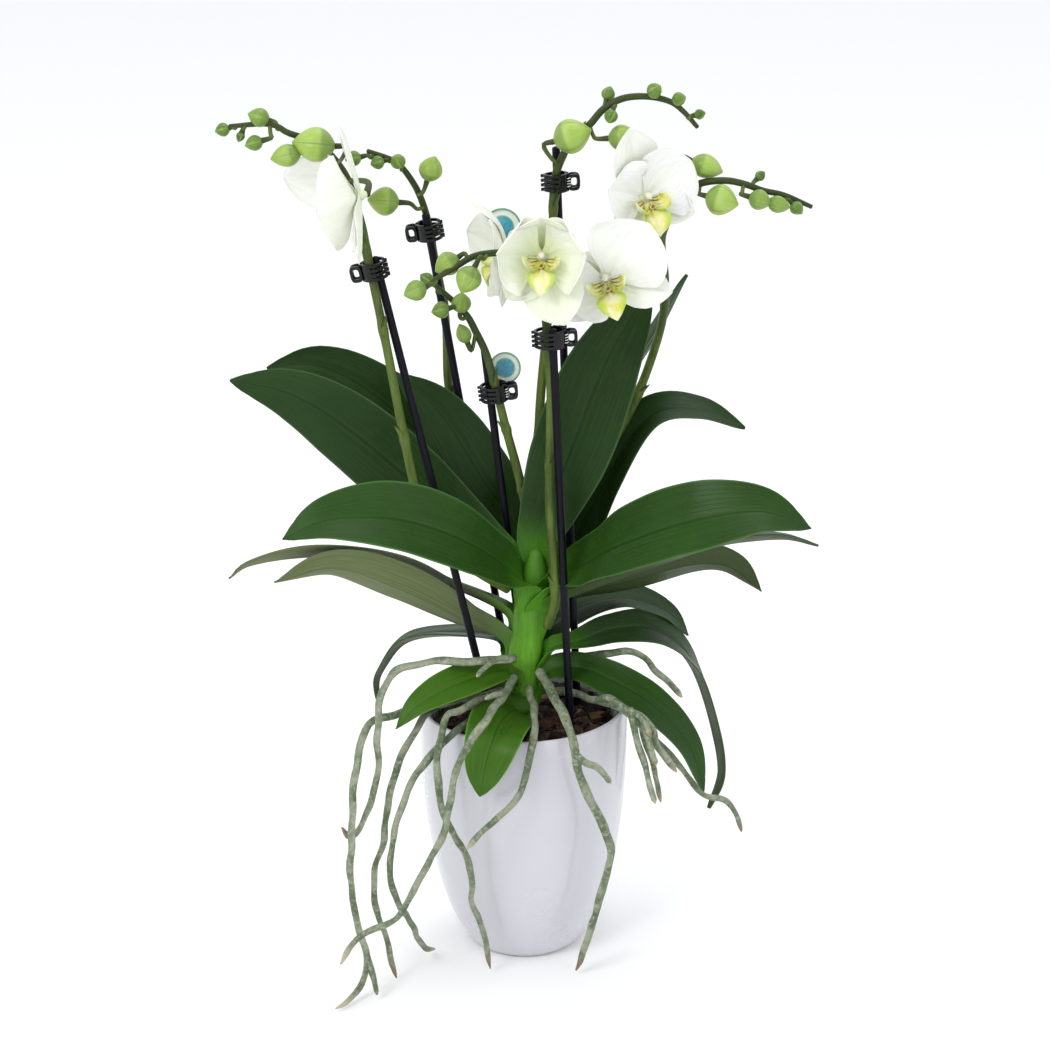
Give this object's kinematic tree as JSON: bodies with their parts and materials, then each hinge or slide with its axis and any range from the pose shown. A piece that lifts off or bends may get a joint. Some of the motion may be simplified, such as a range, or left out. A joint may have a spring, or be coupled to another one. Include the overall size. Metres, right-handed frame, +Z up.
{
  "type": "potted orchid",
  "caption": "Moth orchid in a smooth white cover pot, with staked flower spikes, buds, open flowers, arching leaves and trailing aerial roots.",
  "frame": {"origin": "centre of the cover pot's flat foot, on the surface it stands on", "axes": "+Z up along the pot's axis; -Y is the front of the plant, where the open flowers look; +X is the plant's right seen from the front"},
  "size_m": [0.359, 0.181, 0.5473],
  "materials": {
    "pot_white": "satin white glaze",
    "clear_plastic": "thin smoky see-through growing pot",
    "bark": "damp dark bark chips",
    "stem_green": "smooth living leaf sheaths",
    "leaf_green": "waxy, leathery living leaf",
    "spike_green": "smooth living stalk and buds",
    "stake_black": "dark plastic-coated rod",
    "clip_black": "black moulded plastic",
    "tag_plastic": "smooth plastic, bare faces",
    "petal_white": "soft living petal",
    "lip_yellow": "soft living lip",
    "root_velamen": "dry corky root skin"
  },
  "bodies": {
    "root": {"cover_pot": "pot_white", "nursery_pot": "clear_plastic", "bark_substrate": "bark", "main_stem": "stem_green", "leaf_01": "leaf_green", "leaf_02": "leaf_green", "leaf_03": "leaf_green", "leaf_04": "leaf_green", "leaf_05": "leaf_green", "leaf_06": "leaf_green", "leaf_07": "leaf_green", "leaf_08": "leaf_green", "leaf_09": "leaf_green", "leaf_10": "leaf_green", "leaf_11": "leaf_green", "leaf_12": "leaf_green", "leaf_13": "leaf_green", "leaf_14": "leaf_green", "leaf_15": "leaf_green", "leaf_16": "leaf_green", "leaf_17": "leaf_green", "leaf_18": "leaf_green", "flower_spike_1": "spike_green", "flower_spike_2": "spike_green", "flower_spike_3": "spike_green", "flower_spike_4": "spike_green", "flower_spike_5": "spike_green", "flower_spike_6": "spike_green", "stake_1": "stake_black", "stake_2": "stake_black", "stake_3": "stake_black", "stake_4": "stake_black", "stake_5": "stake_black", "clip_1": "clip_black", "clip_2": "clip_black", "clip_3": "clip_black", "clip_4": "clip_black", "clip_5": "clip_black", "tag_1": "tag_plastic", "tag_2": "tag_plastic", "flower_1_tepals": "petal_white", "flower_2_tepals": "petal_white", "flower_3_tepals": "petal_white", "flower_4_tepals": "petal_white", "flower_5_tepals": "petal_white", "flower_1_lip": "lip_yellow", "flower_2_lip": "lip_yellow", "flower_3_lip": "lip_yellow", "flower_4_lip": "lip_yellow", "flower_5_lip": "lip_yellow", "root_01": "root_velamen", "root_02": "root_velamen", "root_03": "root_velamen", "root_04": "root_velamen", "root_05": "root_velamen", "root_06": "root_velamen", "root_07": "root_velamen", "root_08": "root_velamen", "root_09": "root_velamen", "root_10": "root_velamen"}
  },
  "joints": []
}
